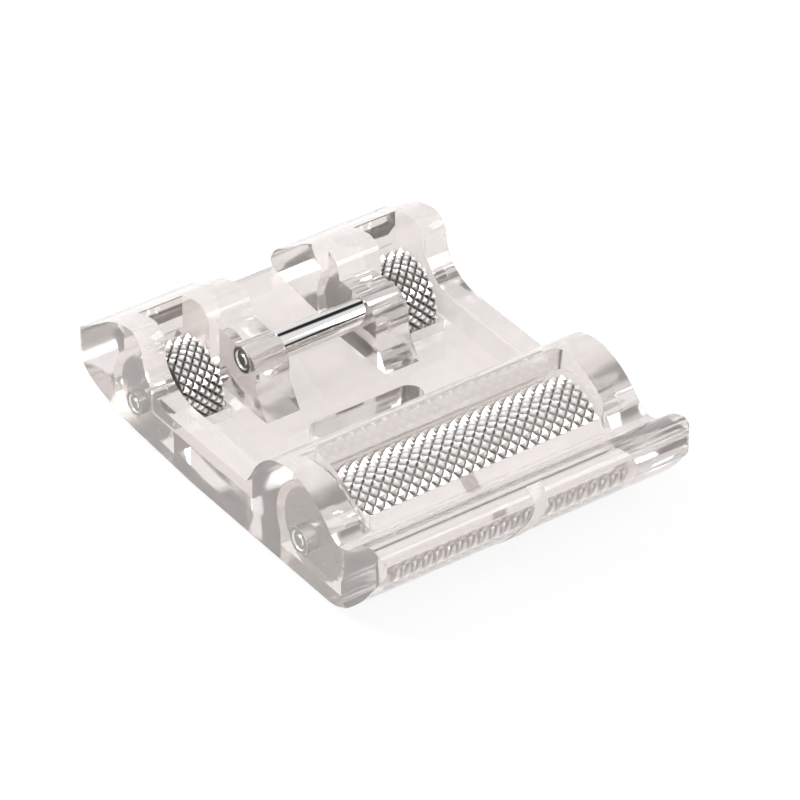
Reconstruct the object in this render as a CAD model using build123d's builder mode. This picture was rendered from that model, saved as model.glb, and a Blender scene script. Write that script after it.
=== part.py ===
"""Clear roller presser foot: moulded body, three knurled rollers, their axles and the clip-on bar."""
import os
from math import cos, pi, sin

from build123d import *

os.makedirs("parts", exist_ok=True)

# Frame: X to the right seen from the toe, toe towards -Y, Z up, rollers stand on Z = 0.
WIDTH = 25.0
HALF_WIDTH = WIDTH / 2
SOLE_Z = 0.7
TALL = 40.0

# Front roller
FRONT_R = 3.5
FRONT_WALL = 2.45
FRONT_END_GAP = 0.25
FRONT_LENGTH = WIDTH - 2 * (FRONT_WALL + FRONT_END_GAP)
FRONT_Y = -8.5
FRONT_Z = FRONT_R
FRONT_AXLE_R = 1.0
FRONT_AXLE_LENGTH = WIDTH
FRONT_ROUND_GAP = 0.35
FRONT_POCKET_R = FRONT_R + FRONT_ROUND_GAP
FRONT_POCKET_HALF = FRONT_LENGTH / 2 + FRONT_END_GAP
FRONT_KNURLS_AROUND = 24
FRONT_KNURLS_ALONG = 22

# Rear rollers
REAR_R = 3.2
REAR_LENGTH = 3.0
REAR_INSET = 3.7
REAR_X = HALF_WIDTH - REAR_INSET
REAR_Y = 10.8
REAR_Z = REAR_R
REAR_AXLE_R = 0.9
REAR_AXLE_OUT = HALF_WIDTH
REAR_AXLE_IN = 4.3
REAR_ROUND_GAP = 0.4
REAR_POCKET_R = REAR_R + REAR_ROUND_GAP
REAR_END_GAP = 0.25
REAR_POCKET_HALF = REAR_LENGTH / 2 + REAR_END_GAP
REAR_MOUTH = 2.2
REAR_MOUTH_BACK = REAR_Y + REAR_MOUTH
REAR_KNURLS_AROUND = 24
REAR_KNURLS_ALONG = 4

KNURL_DEPTH = 0.27
RUNNING_CLEARANCE = 0.03

# Clip-on bar and the ears that hold it
BAR_R = 1.0
BAR_Y = 7.1
BAR_RISE = 5.65
BAR_Z = SOLE_Z + BAR_RISE
EAR_IN = 3.56
EAR_THICK = 2.7
EAR_OUT = EAR_IN + EAR_THICK
EAR_OVER_BAR = 1.1
EAR_TOP = BAR_Z + EAR_OVER_BAR
EAR_NOSE_R = 1.5
EAR_BEFORE_BAR = 1.7
EAR_FRONT_Y = BAR_Y - EAR_BEFORE_BAR
EAR_FOOT_Y = 4.2
EAR_BACK_Y = 12.6

# Side outline of the body, height above the sole, from the toe round the top to the rear
TOE_TOP = [
    (-18.0, 5.9), (-17.7, 6.75), (-16.9, 7.2), (-15.9, 6.85),
    (-14.7, 5.9), (-13.8, 5.3), (-13.0, 5.15), (-12.2, 5.6),
]
HOUSING_TOP = [(-11.0, 6.7), (-9.4, 7.6), (-7.5, 7.95), (-5.6, 7.55), (-4.1, 6.4), (-3.1, 4.9), (-2.5, 4.0)]
REAR_RISE = [(6.0, 4.0), (7.6, 4.3), (8.7, 4.95), (9.35, 5.8), (9.65, 6.9), (10.1, 7.95), (11.0, 8.4)]
REAR_TOP = [(12.6, 8.05), (14.5, 7.0), (16.5, 5.6)]
REAR_END = [(17.6, 4.75), (18.0, 3.9), (17.7, 3.0)]
REAR_UNDER = [(16.9, 2.1), (15.6, 1.35), (13.4, 0.75), (9.5, 0.3), (4.0, 0.0)]
TOE_UNDER = [(-11.6, 0.0), (-13.1, 0.25), (-14.5, 1.15), (-15.8, 2.45), (-16.9, 3.9), (-17.7, 5.1)]
TOE_CORNER_R = 0.8
REAR_CORNER_R = 0.9
BODY_FRONT = -18.0
BODY_BACK = 18.0
SPARE = 1.0

# Floor between the housing and the ears, and the gap the holder comes into
FLOOR_THICK = 2.1
FLOOR_Z = SOLE_Z + FLOOR_THICK
SIDE_WALL = 1.8
WELL_HALF = HALF_WIDTH - SIDE_WALL
WELL_FRONT = -2.2
WELL_BACK = 9.75
GAP_LINE = [(4.0, FLOOR_THICK), (9.0, 2.4), (14.0, 2.8), (18.5, 3.5)]

# Window over the front roller
WINDOW_FRONT = -12.15
WINDOW_BACK = -6.2
WINDOW_LEDGE = 0.1
WINDOW_HALF = FRONT_POCKET_HALF - WINDOW_LEDGE
WINDOW_CORNER_R = 0.9
SLOT_OUT_HALF = 3.45

# Needle slot
NEEDLE_LENGTH = 9.0
NEEDLE_WIDTH = 2.0
NEEDLE_Y = 1.5


def lift(points):
    return [(y, SOLE_Z + z) for y, z in points]


def through(points):
    """Chain of arcs and lines through the points, two points at a time."""
    spots = lift(points)
    last = len(spots) - 1
    for k in range(0, last - 1, 2):
        ThreePointArc(*spots[k:k + 3])
    if last % 2:
        Line(spots[-2], spots[-1])


def knurled(radius, length, around, along, x, y, z):
    """Closed solid whose round side is a lattice of four-sided points, axis along X."""
    columns = around * 2
    rows = along * 2
    step = length / rows
    turn = 2 * pi / columns

    def spot(i, j):
        r = radius if (i + j) % 2 else radius - KNURL_DEPTH
        a = (j % columns) * turn
        return Vector(x - length / 2 + i * step, y + r * cos(a), z + r * sin(a))

    faces = []
    for i in range(rows + 1):
        for j in range(columns):
            if (i + j) % 2 == 0:
                continue
            ring = [(i + 1, j), (i, j + 1), (i - 1, j), (i, j - 1)]
            for k in range(len(ring)):
                a = ring[k]
                b = ring[(k + 1) % len(ring)]
                if min(a[0], b[0]) < 0 or max(a[0], b[0]) > rows:
                    continue
                corners = [spot(i, j), spot(*a), spot(*b)]
                faces.append(Face(Wire.make_polygon(corners)))
    for i in (0, rows):
        rim = [spot(i, j) for j in range(columns)]
        faces.append(Face(Wire.make_polygon(rim)))
    return Solid(Shell(faces))


with BuildPart() as body:
    with BuildSketch(Plane.YZ):
        with BuildLine():
            through(TOE_TOP)
            through([TOE_TOP[-1]] + HOUSING_TOP)
            Line(*lift([HOUSING_TOP[-1], REAR_RISE[0]]))
            through(REAR_RISE)
            through([REAR_RISE[-1]] + REAR_TOP)
            through([REAR_TOP[-1]] + REAR_END)
            through([REAR_END[-1]] + REAR_UNDER)
            Line(*lift([REAR_UNDER[-1], TOE_UNDER[0]]))
            through(TOE_UNDER + [TOE_TOP[0]])
        make_face()
    extrude(amount=HALF_WIDTH, both=True)
    # corners rounded in plan
    for side in (-1, 1):
        for end_y, way, r in ((BODY_FRONT, 1, TOE_CORNER_R), (BODY_BACK, -1, REAR_CORNER_R)):
            with BuildSketch(Plane.XY):
                with Locations((side * (HALF_WIDTH - r / 2 + SPARE / 2), end_y + way * (r / 2 - SPARE / 2))):
                    Rectangle(r + SPARE, r + SPARE)
                with Locations((side * (HALF_WIDTH - r), end_y + way * r)):
                    Circle(r, mode=Mode.SUBTRACT)
            extrude(amount=TALL, mode=Mode.SUBTRACT)
    # the well between the housing and the rear humps
    with Locations((0, (WELL_FRONT + WELL_BACK) / 2, FLOOR_Z)):
        Box(
            2 * WELL_HALF,
            WELL_BACK - WELL_FRONT,
            TALL,
            align=(Align.CENTER, Align.CENTER, Align.MIN),
            mode=Mode.SUBTRACT,
        )
    # the ears, then the gap between them
    for start in (EAR_IN, -EAR_OUT):
        with BuildSketch(Plane.YZ.offset(start)):
            with BuildLine():
                Polyline(
                    (EAR_FOOT_Y, FLOOR_Z),
                    (EAR_FRONT_Y, BAR_Z - EAR_NOSE_R),
                    (EAR_FRONT_Y, EAR_TOP),
                    (EAR_BACK_Y, EAR_TOP),
                    (EAR_BACK_Y, FLOOR_Z),
                    close=True,
                )
            make_face()
            fillet(vertices().sort_by_distance((EAR_FRONT_Y, EAR_TOP, 0))[0], EAR_NOSE_R)
        extrude(amount=EAR_OUT - EAR_IN)
    with BuildSketch(Plane.YZ.offset(-EAR_IN)):
        with BuildLine():
            Polyline(*lift(GAP_LINE), (GAP_LINE[-1][0], TALL), (GAP_LINE[0][0], TALL), close=True)
        make_face()
    extrude(amount=2 * EAR_IN, mode=Mode.SUBTRACT)
    # rear roller pockets, open below and in front
    for side in (-1, 1):
        with Locations(Location((side * REAR_X, REAR_Y, REAR_Z), (0, 90, 0))):
            Cylinder(REAR_POCKET_R, 2 * REAR_POCKET_HALF, mode=Mode.SUBTRACT)
        with Locations((side * REAR_X, REAR_Y, REAR_Z)):
            Box(
                2 * REAR_POCKET_HALF,
                2 * REAR_POCKET_R,
                TALL,
                align=(Align.CENTER, Align.CENTER, Align.MAX),
                mode=Mode.SUBTRACT,
            )
    # mouths of the rear pockets, open at the top of the humps
    for side in (-1, 1):
        with Locations((side * REAR_X, (REAR_Y - REAR_POCKET_R + REAR_MOUTH_BACK) / 2, REAR_Z)):
            Box(
                2 * REAR_POCKET_HALF,
                REAR_MOUTH_BACK - REAR_Y + REAR_POCKET_R,
                TALL,
                align=(Align.CENTER, Align.CENTER, Align.MIN),
                mode=Mode.SUBTRACT,
            )
    # front roller pocket, window above and opening below
    with Locations(Location((0, FRONT_Y, FRONT_Z), (0, 90, 0))):
        Cylinder(FRONT_POCKET_R, 2 * FRONT_POCKET_HALF, mode=Mode.SUBTRACT)
    with Locations((0, FRONT_Y, FRONT_Z)):
        Box(
            2 * FRONT_POCKET_HALF,
            2 * SLOT_OUT_HALF,
            TALL,
            align=(Align.CENTER, Align.CENTER, Align.MAX),
            mode=Mode.SUBTRACT,
        )
    with BuildSketch(Plane.XY.offset(FRONT_Z)):
        with Locations((0, (WINDOW_FRONT + WINDOW_BACK) / 2)):
            RectangleRounded(2 * WINDOW_HALF, WINDOW_BACK - WINDOW_FRONT, WINDOW_CORNER_R)
    extrude(amount=TALL, mode=Mode.SUBTRACT)
    # needle slot
    with BuildSketch(Plane.XY):
        with Locations((0, NEEDLE_Y)):
            SlotOverall(NEEDLE_LENGTH, NEEDLE_WIDTH)
    extrude(amount=TALL, mode=Mode.SUBTRACT)
    # holes for the axles and the bar
    with Locations(Location((0, FRONT_Y, FRONT_Z), (0, 90, 0))):
        Cylinder(FRONT_AXLE_R, FRONT_AXLE_LENGTH, mode=Mode.SUBTRACT)
    for side in (-1, 1):
        middle = side * (REAR_AXLE_IN + REAR_AXLE_OUT) / 2
        with Locations(Location((middle, REAR_Y, REAR_Z), (0, 90, 0))):
            Cylinder(REAR_AXLE_R, REAR_AXLE_OUT - REAR_AXLE_IN, mode=Mode.SUBTRACT)
    with Locations(Location((0, BAR_Y, BAR_Z), (0, 90, 0))):
        Cylinder(BAR_R, 2 * EAR_OUT, mode=Mode.SUBTRACT)
body.part.label = "body"
export_step(body.part, "parts/body.step")

with BuildPart() as front_roller:
    add(knurled(FRONT_R, FRONT_LENGTH, FRONT_KNURLS_AROUND, FRONT_KNURLS_ALONG, 0, FRONT_Y, FRONT_Z))
    with Locations(Location((0, FRONT_Y, FRONT_Z), (0, 90, 0))):
        Cylinder(FRONT_AXLE_R + RUNNING_CLEARANCE, 2 * WIDTH, mode=Mode.SUBTRACT)
front_roller.part.label = "front_roller"
export_step(front_roller.part, "parts/front_roller.step")

with BuildPart() as rear_roller_left:
    add(knurled(REAR_R, REAR_LENGTH, REAR_KNURLS_AROUND, REAR_KNURLS_ALONG, -REAR_X, REAR_Y, REAR_Z))
    with Locations(Location((-REAR_X, REAR_Y, REAR_Z), (0, 90, 0))):
        Cylinder(REAR_AXLE_R + RUNNING_CLEARANCE, WIDTH, mode=Mode.SUBTRACT)
rear_roller_left.part.label = "rear_roller_left"
export_step(rear_roller_left.part, "parts/rear_roller_left.step")

with BuildPart() as rear_roller_right:
    add(knurled(REAR_R, REAR_LENGTH, REAR_KNURLS_AROUND, REAR_KNURLS_ALONG, REAR_X, REAR_Y, REAR_Z))
    with Locations(Location((REAR_X, REAR_Y, REAR_Z), (0, 90, 0))):
        Cylinder(REAR_AXLE_R + RUNNING_CLEARANCE, WIDTH, mode=Mode.SUBTRACT)
rear_roller_right.part.label = "rear_roller_right"
export_step(rear_roller_right.part, "parts/rear_roller_right.step")

with BuildPart() as front_axle:
    with Locations(Location((0, FRONT_Y, FRONT_Z), (0, 90, 0))):
        Cylinder(FRONT_AXLE_R, FRONT_AXLE_LENGTH)
front_axle.part.label = "front_axle"
export_step(front_axle.part, "parts/front_axle.step")

with BuildPart() as rear_axle_left:
    with Locations(Location((-(REAR_AXLE_IN + REAR_AXLE_OUT) / 2, REAR_Y, REAR_Z), (0, 90, 0))):
        Cylinder(REAR_AXLE_R, REAR_AXLE_OUT - REAR_AXLE_IN)
rear_axle_left.part.label = "rear_axle_left"
export_step(rear_axle_left.part, "parts/rear_axle_left.step")

with BuildPart() as rear_axle_right:
    with Locations(Location(((REAR_AXLE_IN + REAR_AXLE_OUT) / 2, REAR_Y, REAR_Z), (0, 90, 0))):
        Cylinder(REAR_AXLE_R, REAR_AXLE_OUT - REAR_AXLE_IN)
rear_axle_right.part.label = "rear_axle_right"
export_step(rear_axle_right.part, "parts/rear_axle_right.step")

with BuildPart() as snap_bar:
    with Locations(Location((0, BAR_Y, BAR_Z), (0, 90, 0))):
        Cylinder(BAR_R, 2 * EAR_OUT)
snap_bar.part.label = "snap_bar"
export_step(snap_bar.part, "parts/snap_bar.step")
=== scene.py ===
"""Clear roller presser foot on a white table, seen from the front left and above."""
import math

import bpy
from mathutils import Matrix, Vector


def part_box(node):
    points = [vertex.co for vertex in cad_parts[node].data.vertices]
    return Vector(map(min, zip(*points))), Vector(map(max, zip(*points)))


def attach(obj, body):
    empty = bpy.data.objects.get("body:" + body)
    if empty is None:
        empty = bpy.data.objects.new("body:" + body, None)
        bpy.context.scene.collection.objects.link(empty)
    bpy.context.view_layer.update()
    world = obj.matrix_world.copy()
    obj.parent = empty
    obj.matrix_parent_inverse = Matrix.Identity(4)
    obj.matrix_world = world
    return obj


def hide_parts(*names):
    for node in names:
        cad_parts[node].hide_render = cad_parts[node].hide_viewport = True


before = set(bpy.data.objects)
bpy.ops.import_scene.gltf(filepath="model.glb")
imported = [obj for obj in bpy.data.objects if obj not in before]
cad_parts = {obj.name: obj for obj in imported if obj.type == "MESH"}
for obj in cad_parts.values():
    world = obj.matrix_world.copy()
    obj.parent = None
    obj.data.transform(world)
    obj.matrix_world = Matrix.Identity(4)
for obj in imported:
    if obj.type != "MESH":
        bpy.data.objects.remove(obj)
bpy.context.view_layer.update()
bpy.ops.object.select_all(action="DESELECT")

# Body. One clear moulding in polycarbonate: sole, toe, roller housing, side walls, humps and ears.
# It comes out of a polished mould, so every face is glossy and every edge has a small round.
MM = 0.001
MERGED_WITHIN = 0.002 * MM
FLAT_WITHIN = math.radians(0.5)
EDGE_ROUND = 0.22 * MM
EDGE_ROUND_STEPS = 2
ROUNDED_FROM = math.radians(38)
MOULDED_SMOOTH = math.radians(32)
CLEAR_TINT = "F0EAE7"
CLEAR_ROUGHNESS = 0.06
CLEAR_IOR = 1.47
CLEAR_SHARE = 0.88
FLOW_WIDTH = 3.846 * MM
FLOW_DEPTH = 0.2 * MM
FLOW_STRENGTH = 0.02


def linear(hex_colour):
    """sRGB hex to a linear colour with alpha."""
    parts = [int(hex_colour[i:i + 2], 16) / 255 for i in (0, 2, 4)]
    return [c / 12.92 if c <= 0.04045 else ((c + 0.055) / 1.055) ** 2.4 for c in parts] + [1.0]


def put(tree, kind, links=(), **settings):
    """Adds a node, sets its sockets and properties, and links outputs of other nodes into it."""
    node = tree.nodes.new(kind)
    for name, value in settings.items():
        label = name.replace("_", " ")
        if label in node.inputs:
            node.inputs[label].default_value = value
        else:
            setattr(node, name, value)
    for socket, output in links:
        tree.links.new(output, node.inputs[socket])
    return node


def new_material(name):
    """A material with an empty node tree."""
    made = bpy.data.materials.new(name)
    made.use_nodes = True
    made.node_tree.nodes.clear()
    return made


def body_copy(name):
    """A copy of the CAD body with its loose triangles merged, left in edit mode with all selected."""
    made = bpy.data.objects.new(name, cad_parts["body"].data.copy())
    bpy.context.scene.collection.objects.link(made)
    made.select_set(True)
    bpy.context.view_layer.objects.active = made
    bpy.ops.object.mode_set(mode="EDIT")
    bpy.ops.mesh.select_all(action="SELECT")
    bpy.ops.mesh.remove_doubles(threshold=MERGED_WITHIN)
    return made


body = body_copy("clear_body")
bpy.ops.mesh.dissolve_limited(angle_limit=FLAT_WITHIN)
bpy.ops.object.mode_set(mode="OBJECT")
edge_round = body.modifiers.new("edge_round", "BEVEL")
edge_round.width = EDGE_ROUND
edge_round.segments = EDGE_ROUND_STEPS
edge_round.limit_method = "ANGLE"
edge_round.angle_limit = ROUNDED_FROM
edge_round.use_clamp_overlap = True
edge_round.miter_outer = "MITER_ARC"
bpy.ops.object.modifier_apply(modifier="edge_round")
bpy.ops.object.shade_smooth_by_angle(angle=MOULDED_SMOOTH)
flat_faces = body.modifiers.new("flat_faces", "WEIGHTED_NORMAL")
flat_faces.keep_sharp = True
bpy.ops.object.modifier_apply(modifier="flat_faces")
body.select_set(False)

# Clear moulded polycarbonate bends light strongly, so edges go dark and faces flash white.
# A slight haze keeps its inside pale, and the melt's flow leaves a faint ripple on its faces.
clear = new_material("clear_polycarbonate")
clear_tree = clear.node_tree
place = put(clear_tree, "ShaderNodeTexCoord")
flow = put(clear_tree, "ShaderNodeTexNoise", [("Vector", place.outputs["Object"])],
           Scale=1 / FLOW_WIDTH, Detail=2.0)
ripple = put(clear_tree, "ShaderNodeBump", [("Height", flow.outputs["Fac"])],
             Strength=FLOW_STRENGTH, Distance=FLOW_DEPTH)
plastic = put(clear_tree, "ShaderNodeBsdfPrincipled", [("Normal", ripple.outputs["Normal"])],
              Base_Color=linear(CLEAR_TINT), Roughness=CLEAR_ROUGHNESS, IOR=CLEAR_IOR,
              Transmission_Weight=CLEAR_SHARE)
put(clear_tree, "ShaderNodeOutputMaterial", [("Surface", plastic.outputs["BSDF"])])
body.data.materials.clear()
body.data.materials.append(clear)
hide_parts("body")
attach(body, "foot")

# Centre guide mark. A matt line moulded down the front of the toe, which shows where the needle falls.
# It is the same polycarbonate, left rough by a spark-eroded strip in the polished mould.
GUIDE_HALF = 0.55 * MM
GUIDE_RAISED = 0.05 * MM
TOE_START_Y = -12.9 * MM
TOE_FRONT_NORMAL = -0.3
MATT_TINT = "F3EFED"
MATT_ROUGHNESS = 0.5
MATT_CLEAR_SHARE = 0.45
PIT_WIDTH = 0.2857 * MM
PIT_DEPTH = 0.05 * MM
PIT_STRENGTH = 0.3


def select_faces(piece, wanted):
    """Leaves only the wanted faces of the piece in edit mode selected."""
    bpy.ops.mesh.select_mode(type="FACE")
    bpy.ops.mesh.select_all(action="DESELECT")
    bpy.ops.object.mode_set(mode="OBJECT")
    for face in piece.data.polygons:
        face.select = wanted(face)
    bpy.ops.object.mode_set(mode="EDIT")


def off_toe_front(face):
    """Whether a face lies behind the toe or looks another way than forward."""
    return face.center.y > TOE_START_Y or face.normal.y > TOE_FRONT_NORMAL


guide = body_copy("centre_guide_mark")
bpy.ops.mesh.bisect(plane_co=(GUIDE_HALF, 0, 0), plane_no=(1, 0, 0), clear_outer=True)
bpy.ops.mesh.select_all(action="SELECT")
bpy.ops.mesh.bisect(plane_co=(-GUIDE_HALF, 0, 0), plane_no=(1, 0, 0), clear_inner=True)
select_faces(guide, off_toe_front)
bpy.ops.mesh.delete(type="FACE")
bpy.ops.object.mode_set(mode="OBJECT")
raised = guide.modifiers.new("raised", "SOLIDIFY")
raised.thickness = GUIDE_RAISED
raised.offset = 1.0
bpy.ops.object.modifier_apply(modifier="raised")
bpy.ops.object.shade_smooth_by_angle(angle=MOULDED_SMOOTH)

# Spark-eroded polycarbonate scatters what shines through it, so the mark is milky beside the clear toe.
# Its pits are drawn coarser than real ones, so that they show.
matt_clear = new_material("matt_polycarbonate")
matt_tree = matt_clear.node_tree
place = put(matt_tree, "ShaderNodeTexCoord")
spark = put(matt_tree, "ShaderNodeTexNoise", [("Vector", place.outputs["Object"])],
            Scale=1 / PIT_WIDTH, Detail=2.0)
pits = put(matt_tree, "ShaderNodeBump", [("Height", spark.outputs["Fac"])],
           Strength=PIT_STRENGTH, Distance=PIT_DEPTH)
frosted = put(matt_tree, "ShaderNodeBsdfPrincipled", [("Normal", pits.outputs["Normal"])],
              Base_Color=linear(MATT_TINT), Roughness=MATT_ROUGHNESS, IOR=CLEAR_IOR,
              Transmission_Weight=MATT_CLEAR_SHARE)
put(matt_tree, "ShaderNodeOutputMaterial", [("Surface", frosted.outputs["BSDF"])])
guide.data.materials.clear()
guide.data.materials.append(matt_clear)
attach(guide, "foot")
guide.select_set(False)

# Knurled rollers. Steel bar rolled between diamond wheels, cut to length and bored for its axle.
# The long one turns under the window in front and the short ones turn in the humps behind.
# A point is fully bright over the outer share of the knurl's depth given here; below it, painted shade
# darkens the steel down into the valleys.
KNURL_DEPTH = 0.27 * MM
POINT_SHARE = 0.45
POINT_STEEL = "F4F2F0"
# Valley colours are painted shade at the bottom of the knurl, darker on the rear rollers than on the front
# one.
FRONT_VALLEY_SHADE = "928F8C"
REAR_VALLEY_SHADE = "5C5956"
GRAIN_WIDTH = 0.625 * MM
KNURL_ROUGHNESS = (0.16, 0.34)

# Places of the colour sockets on a Mix node, where several sockets share a name.
MIX_FIRST = 6
MIX_SECOND = 7
MIX_RESULT = 2


def knurled_steel(name, node, valley_shade):
    """Bright rolled steel with painted shade, darker from the points down into the valleys."""
    low, high = (Vector(c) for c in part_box(node))
    centre = (low + high) / 2
    radius = (high.z - low.z) / 2
    made = new_material(name)
    tree = made.node_tree
    place = put(tree, "ShaderNodeTexCoord")
    middle = put(tree, "ShaderNodeMapping", [("Vector", place.outputs["Object"])],
                 Location=(0, -centre.y, -centre.z))
    across = put(tree, "ShaderNodeVectorMath", [(0, middle.outputs["Vector"])], operation="MULTIPLY")
    across.inputs[1].default_value = (0, 1, 1)
    reach = put(tree, "ShaderNodeVectorMath", [(0, across.outputs["Vector"])], operation="LENGTH")
    height = put(tree, "ShaderNodeMapRange", [("Value", reach.outputs["Value"])],
                 From_Min=radius - KNURL_DEPTH, From_Max=radius - POINT_SHARE * KNURL_DEPTH)
    shade = put(tree, "ShaderNodeMix", [("Factor", height.outputs["Result"])], data_type="RGBA")
    shade.inputs[MIX_FIRST].default_value = linear(valley_shade)
    shade.inputs[MIX_SECOND].default_value = linear(POINT_STEEL)
    grain = put(tree, "ShaderNodeTexNoise", [("Vector", place.outputs["Object"])],
                Scale=1 / GRAIN_WIDTH, Detail=3.0)
    smoothest, roughest = KNURL_ROUGHNESS
    rough = put(tree, "ShaderNodeMapRange", [("Value", grain.outputs["Fac"])],
                To_Min=smoothest, To_Max=roughest)
    steel = put(tree, "ShaderNodeBsdfPrincipled",
                [("Base Color", shade.outputs[MIX_RESULT]), ("Roughness", rough.outputs["Result"])],
                Metallic=1.0)
    put(tree, "ShaderNodeOutputMaterial", [("Surface", steel.outputs["BSDF"])])
    return made


front_steel = knurled_steel("knurled_steel_front", "front_roller", FRONT_VALLEY_SHADE)
rear_steel = knurled_steel("knurled_steel_rear", "rear_roller_left", REAR_VALLEY_SHADE)
for node, finish in (("front_roller", front_steel), ("rear_roller_left", rear_steel),
                     ("rear_roller_right", rear_steel)):
    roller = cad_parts[node]
    roller.data.materials.clear()
    roller.data.materials.append(finish)

# Axles and snap bar. Drawn steel rod, polished, with small rounded ends, pressed into the body.
# Each is a hair thicker than its hole, as a press fit is, and has a ring turned into each end.
PRESS = 0.012 * MM
ROD_SIDES = 64
ROD_SMOOTH = math.radians(35)
END_NORMAL = 0.9
END_ROUND = 0.12 * MM
END_ROUND_STEPS = 3
END_ROUNDED_FROM = math.radians(60)
POLISHED_STEEL = "E2E1E0"
POLISHED_ROUGHNESS = (0.05, 0.12)
DRAWN_LENGTH = 16.67 * MM
DRAWN_WIDTH = 0.4545 * MM
FACED_STEEL = "A39F9B"
FACED_ROUGHNESS = 0.35

# Width and depth of the rim, the ring's outer wall, its floor and its inner wall, as shares of the radius.
END_RINGS = ((0.3, 0.0), (0.04, -0.12), (0.22, 0.0), (0.06, 0.1))

# Polished steel mirrors the studio in stripes, which the lines of the drawing die soften a little.
# The lines are drawn coarser than real ones, so that they show.
polished = new_material("polished_steel")
rod_tree = polished.node_tree
place = put(rod_tree, "ShaderNodeTexCoord")
lines = put(rod_tree, "ShaderNodeMapping", [("Vector", place.outputs["Object"])],
            Scale=(1 / DRAWN_LENGTH, 1 / DRAWN_WIDTH, 1 / DRAWN_WIDTH))
drawn = put(rod_tree, "ShaderNodeTexNoise", [("Vector", lines.outputs["Vector"])], Scale=1.0, Detail=2.0)
smoothest, roughest = POLISHED_ROUGHNESS
rough = put(rod_tree, "ShaderNodeMapRange", [("Value", drawn.outputs["Fac"])],
            To_Min=smoothest, To_Max=roughest)
rod_steel = put(rod_tree, "ShaderNodeBsdfPrincipled", [("Roughness", rough.outputs["Result"])],
                Base_Color=linear(POLISHED_STEEL), Metallic=1.0)
put(rod_tree, "ShaderNodeOutputMaterial", [("Surface", rod_steel.outputs["BSDF"])])

# The ends are sawn and faced on a lathe, so they are greyer and duller than the drawn sides.
faced = new_material("faced_steel")
faced_tree = faced.node_tree
end_steel = put(faced_tree, "ShaderNodeBsdfPrincipled",
                Base_Color=linear(FACED_STEEL), Metallic=1.0, Roughness=FACED_ROUGHNESS)
put(faced_tree, "ShaderNodeOutputMaterial", [("Surface", end_steel.outputs["BSDF"])])


def at_end(face):
    """Whether a face of a rod looks along it."""
    return abs(face.normal.x) > END_NORMAL


def rod(node, name):
    """A round rod along X in the place of a CAD node, with a ring in each end."""
    low, high = (Vector(c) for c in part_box(node))
    middle = (low + high) / 2
    radius = (high.z - low.z) / 2 + PRESS
    bpy.ops.mesh.primitive_cylinder_add(vertices=ROD_SIDES, radius=radius, depth=high.x - low.x,
                                        location=(0, 0, 0))
    made = bpy.context.object
    made.name = name
    made.data.transform(Matrix.Translation(middle) @ Matrix.Rotation(math.pi / 2, 4, "Y"))
    bpy.ops.object.mode_set(mode="EDIT")
    select_faces(made, at_end)
    for width, depth in END_RINGS:
        bpy.ops.mesh.inset(thickness=width * radius, depth=depth * radius, use_individual=True)
    bpy.ops.object.mode_set(mode="OBJECT")
    softened = made.modifiers.new("softened_ends", "BEVEL")
    softened.width = END_ROUND
    softened.segments = END_ROUND_STEPS
    softened.limit_method = "ANGLE"
    softened.angle_limit = END_ROUNDED_FROM
    bpy.ops.object.modifier_apply(modifier="softened_ends")
    bpy.ops.object.shade_smooth_by_angle(angle=ROD_SMOOTH)
    made.data.materials.append(polished)
    made.data.materials.append(faced)
    for face in made.data.polygons:
        face.material_index = int(at_end(face))
    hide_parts(node)
    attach(made, "foot")
    made.select_set(False)


for node, name in (("front_axle", "front_axle_rod"), ("rear_axle_left", "rear_pin_left"),
                   ("rear_axle_right", "rear_pin_right"), ("snap_bar", "polished_snap_bar")):
    rod(node, name)

# Table. A matt white board under the foot, which keeps a faint shadow.
# Most of what is seen of it, also through plastic and in steel, is its own glow, so it stays white.
TABLE_SIZE = 3.0
TABLE_DROP = 0.02 * MM
TABLE_WHITE = "F4F3F2"
TABLE_GLOW = 0.85
bpy.ops.mesh.primitive_plane_add(size=TABLE_SIZE, location=(0, 0, -TABLE_DROP))
table = bpy.context.object
table.name = "table"
white = new_material("white_table")
table_tree = white.node_tree
path = put(table_tree, "ShaderNodeLightPath")
seen = put(table_tree, "ShaderNodeMath",
           [(0, path.outputs["Is Camera Ray"]), (1, path.outputs["Is Transmission Ray"])],
           operation="MAXIMUM")
shiny = put(table_tree, "ShaderNodeMath",
            [(0, seen.outputs["Value"]), (1, path.outputs["Is Glossy Ray"])],
            operation="MAXIMUM")
share = put(table_tree, "ShaderNodeMath", [(0, shiny.outputs["Value"])], operation="MULTIPLY")
share.inputs[1].default_value = TABLE_GLOW
matt = put(table_tree, "ShaderNodeBsdfDiffuse", Color=linear(TABLE_WHITE))
glow = put(table_tree, "ShaderNodeEmission", Color=linear("FFFFFF"), Strength=1.0)
both = put(table_tree, "ShaderNodeMixShader",
           [(0, share.outputs["Value"]), (1, matt.outputs["BSDF"]), (2, glow.outputs["Emission"])])
put(table_tree, "ShaderNodeOutputMaterial", [("Surface", both.outputs["Shader"])])
table.data.materials.append(white)
table.select_set(False)

# Studio. A near-white room with a greyer band above the horizon, which gives the clear edges contrast.
# Reflections see a white room with two dark flags instead, one high up behind and one low in front,
# both to the right, which draw the stripes along the bar.
HORIZON_LEVEL = 0.9
ZENITH_LEVEL = 0.85
BANDS = ((0.22, 0.9), (0.34, 0.55), (0.44, 0.55), (0.58, 0.9), (0.84, 0.95))
FLAG_LEVEL = 0.02

# Each flag has its direction and the angles from it, in degrees, at which it starts and stops fading.
FLAGS = (((0.473, 0.323, 0.82), 9, 20), ((0.473, -0.875, 0.1), 10, 24))


def grey(level):
    """A linear grey with alpha."""
    return (level, level, level, 1)


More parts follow.
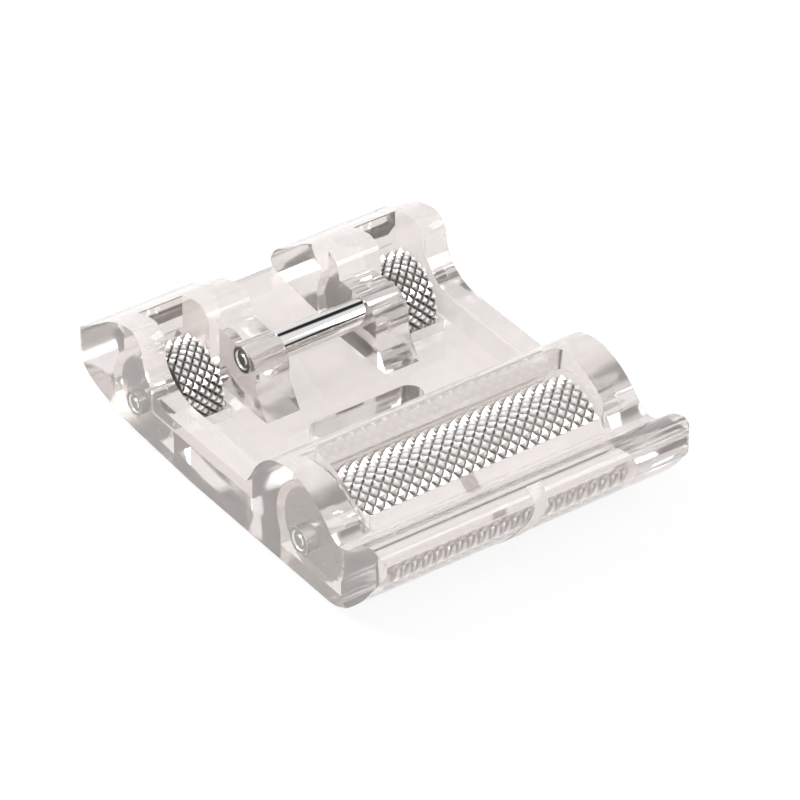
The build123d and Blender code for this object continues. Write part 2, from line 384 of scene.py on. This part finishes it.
world = bpy.data.worlds.new("studio")
bpy.context.scene.world = world
world.use_nodes = True
sky = world.node_tree
sky.nodes.clear()
way = put(sky, "ShaderNodeTexCoord")
split = put(sky, "ShaderNodeSeparateXYZ", [("Vector", way.outputs["Generated"])])
bands = put(sky, "ShaderNodeValToRGB", [("Fac", split.outputs["Z"])])
ramp = bands.color_ramp
ramp.interpolation = "EASE"
ramp.elements[0].position = 0.0
ramp.elements[0].color = grey(HORIZON_LEVEL)
ramp.elements[1].position = 1.0
ramp.elements[1].color = grey(ZENITH_LEVEL)
for spot, level in BANDS:
    stop = ramp.elements.new(spot)
    stop.color = grey(level)
flag_edges = []
for toward_flag, inner, outer in FLAGS:
    flag = put(sky, "ShaderNodeVectorMath", [(0, way.outputs["Generated"])], operation="DOT_PRODUCT")
    flag.inputs[1].default_value = toward_flag
    edge = put(sky, "ShaderNodeMapRange", [("Value", flag.outputs["Value"])],
               interpolation_type="SMOOTHSTEP",
               From_Min=math.cos(math.radians(outer)), From_Max=math.cos(math.radians(inner)),
               To_Min=1.0, To_Max=FLAG_LEVEL)
    flag_edges.append(edge.outputs["Result"])
flags = put(sky, "ShaderNodeMath", list(enumerate(flag_edges)), operation="MULTIPLY")
ray = put(sky, "ShaderNodeLightPath")
pick = put(sky, "ShaderNodeMix", [("Factor", ray.outputs["Is Glossy Ray"])], data_type="RGBA")
sky.links.new(bands.outputs["Color"], pick.inputs[MIX_FIRST])
sky.links.new(flags.outputs["Value"], pick.inputs[MIX_SECOND])
light = put(sky, "ShaderNodeBackground", [("Color", pick.outputs[MIX_RESULT])], Strength=1.0)
put(sky, "ShaderNodeOutputWorld", [("Surface", light.outputs["Background"])])


def soft_lamp(name, place, size, power):
    """A square lamp that faces the foot."""
    data = bpy.data.lights.new(name, "AREA")
    data.shape = "SQUARE"
    data.size = size
    data.energy = power
    lamp = bpy.data.objects.new(name, data)
    bpy.context.scene.collection.objects.link(lamp)
    lamp.location = place
    lamp.rotation_euler = (-Vector(place)).to_track_quat("-Z", "Y").to_euler()


soft_lamp("key_lamp", place=(-0.25, 0.15, 0.45), size=0.25, power=2.2)
soft_lamp("fill_lamp", place=(0.4, -0.35, 0.35), size=0.3, power=1.2)

# Camera. It stands at the photograph's angle, far off with a long lens.
# Its place and lens come from a fit to points of the photograph.
TURN = math.radians(35.53)
RISE = math.radians(35.57)
AWAY = 403.88 * MM
MOVED_RIGHT = 1.37 * MM
MOVED_UP = 3.17 * MM
SOLE_HEIGHT = 0.7 * MM
FOCAL_PIXELS = 6017.0
PICTURE_PIXELS = 800
SENSOR_WIDTH = 36.0
NEAREST_SEEN = 10 * MM
toward = Vector((-math.sin(TURN) * math.cos(RISE), -math.cos(TURN) * math.cos(RISE), math.sin(RISE)))
right = Vector((math.cos(TURN), -math.sin(TURN), 0))
up = toward.cross(right)
camera_data = bpy.data.cameras.new("camera")
camera_data.sensor_width = SENSOR_WIDTH
camera_data.lens = FOCAL_PIXELS / PICTURE_PIXELS * SENSOR_WIDTH
camera_data.clip_start = NEAREST_SEEN
camera = bpy.data.objects.new("camera", camera_data)
bpy.context.scene.collection.objects.link(camera)
camera.matrix_world = Matrix((right, up, toward)).transposed().to_4x4()
camera.location = toward * AWAY + right * MOVED_RIGHT + up * MOVED_UP + Vector((0, 0, SOLE_HEIGHT))
bpy.context.scene.camera = camera

bpy.context.scene.view_settings.view_transform = "Standard"
